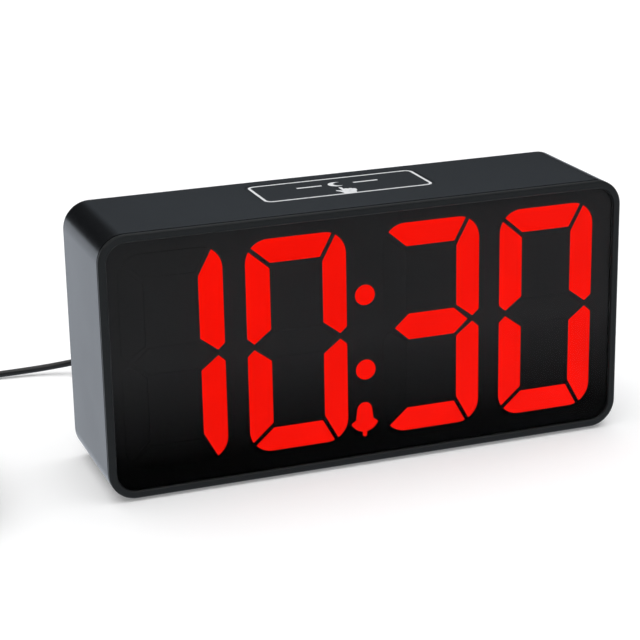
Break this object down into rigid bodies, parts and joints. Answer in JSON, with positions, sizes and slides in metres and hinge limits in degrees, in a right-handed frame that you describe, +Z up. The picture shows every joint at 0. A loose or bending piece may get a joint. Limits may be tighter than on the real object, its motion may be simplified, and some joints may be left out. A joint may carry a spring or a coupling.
{
  "type": "digital alarm clock",
  "caption": "Free-standing mains-powered LED alarm clock: a slim black box with a large seven-segment display, a snooze key on top and rear setting controls.",
  "frame": {"origin": "on the table under the middle of the clock, at the feet's undersides", "axes": "+X along the clock's width, to the right as its display is read; +Y towards its rear cover; +Z up"},
  "size_m": [0.2115, 0.1053, 0.0664],
  "materials": {
    "housing_plastic": "satin moulded",
    "bezel_plastic": "semi-gloss moulded",
    "cover_plastic": "fine texture",
    "key_plastic": "satin moulded",
    "smoked_acrylic": "polished",
    "foot_rubber": "matt",
    "reflector_plastic": "matt",
    "lit_resin": "diffusing",
    "dark_resin": "diffusing",
    "led_epoxy": "clear",
    "circuit_board": "solder mask",
    "moulded_black": "matt",
    "plated_steel": "bright",
    "can_aluminium": "drawn",
    "white_plastic": "satin",
    "plated_brass": "nickel plated",
    "cord_jacket": "semi-matt",
    "adapter_plastic": "fine texture"
  },
  "bodies": {
    "clock": {"adapter_blades": "plated_brass", "adapter_strain_relief": "cord_jacket", "alarm_bell": "lit_resin", "backup_cell": "plated_steel", "board_header": "moulded_black", "brightness_control": "moulded_black", "buzzer": "moulded_black", "cell_contacts": "plated_steel", "chip_resistors": "moulded_black", "clock_chip": "moulded_black", "coil_tie": "cord_jacket", "colon_dots": "lit_resin", "cord_coil": "cord_jacket", "cord_tail": "cord_jacket", "cover_screws": "plated_steel", "crystal": "plated_steel", "dark_segments": "dark_resin", "display_block": "reflector_plastic", "display_board": "circuit_board", "driver_transistors": "moulded_black", "filter_capacitor": "can_aluminium", "front_bezel": "bezel_plastic", "front_lens": "smoked_acrylic", "housing": "housing_plastic", "jack_body": "moulded_black", "jack_pin": "plated_brass", "leds": "led_epoxy", "lit_segments": "lit_resin", "loudness_switch": "plated_steel", "main_board": "circuit_board", "plug_barrel": "plated_brass", "plug_body": "cord_jacket", "plug_strain_relief": "cord_jacket", "power_adapter": "adapter_plastic", "power_cord": "cord_jacket", "rear_cover": "cover_plastic", "rear_switches": "plated_steel", "rubber_feet": "foot_rubber", "snooze_switch": "plated_steel", "usb_shell": "plated_steel", "usb_tongue": "white_plastic"},
    "minute_key": {"minute_button": "key_plastic", "minute_plunger": "white_plastic"},
    "hour_key": {"hour_button": "key_plastic", "hour_plunger": "white_plastic"},
    "time_key": {"time_button": "key_plastic", "time_plunger": "white_plastic"},
    "alarm_key": {"alarm_button": "key_plastic", "alarm_plunger": "white_plastic"},
    "snooze_bar": {"snooze_key": "housing_plastic", "snooze_plunger": "white_plastic"},
    "dimmer": {"brightness_wheel": "key_plastic"},
    "volume": {"loudness_slider": "key_plastic"},
    "cell_door": {"battery_door": "cover_plastic"}
  },
  "joints": [
    {"name": "minute_press", "type": "slide", "parent": "clock", "child": "minute_key", "axis": [0, -1, 0], "range_m": [0, 0.0005], "stiffness_N_per_m": 1500, "springref_m": -0.0005},
    {"name": "hour_press", "type": "slide", "parent": "clock", "child": "hour_key", "axis": [0, -1, 0], "range_m": [0, 0.0005], "stiffness_N_per_m": 1500, "springref_m": -0.0005},
    {"name": "time_press", "type": "slide", "parent": "clock", "child": "time_key", "axis": [0, -1, 0], "range_m": [0, 0.0005], "stiffness_N_per_m": 1500, "springref_m": -0.0005},
    {"name": "alarm_press", "type": "slide", "parent": "clock", "child": "alarm_key", "axis": [0, -1, 0], "range_m": [0, 0.0005], "stiffness_N_per_m": 1500, "springref_m": -0.0005},
    {"name": "snooze_press", "type": "slide", "parent": "clock", "child": "snooze_bar", "axis": [0, 0, -1], "range_m": [0, 0.0005], "stiffness_N_per_m": 1500, "springref_m": -0.0005},
    {"name": "brightness_turn", "type": "hinge", "parent": "clock", "child": "dimmer", "pos_m": [-0.0465, 0.0111, 0.044], "axis": [0, 0, 1], "range_deg": [-140, 140]},
    {"name": "loudness_slide", "type": "slide", "parent": "clock", "child": "volume", "axis": [1, 0, 0], "range_m": [0, 0.0025]},
    {"name": "battery_door_turn", "type": "hinge", "parent": "clock", "child": "cell_door", "pos_m": [0.036, 0.016, 0.021], "axis": [0, 1, 0], "range_deg": [0, 40]}
  ]
}
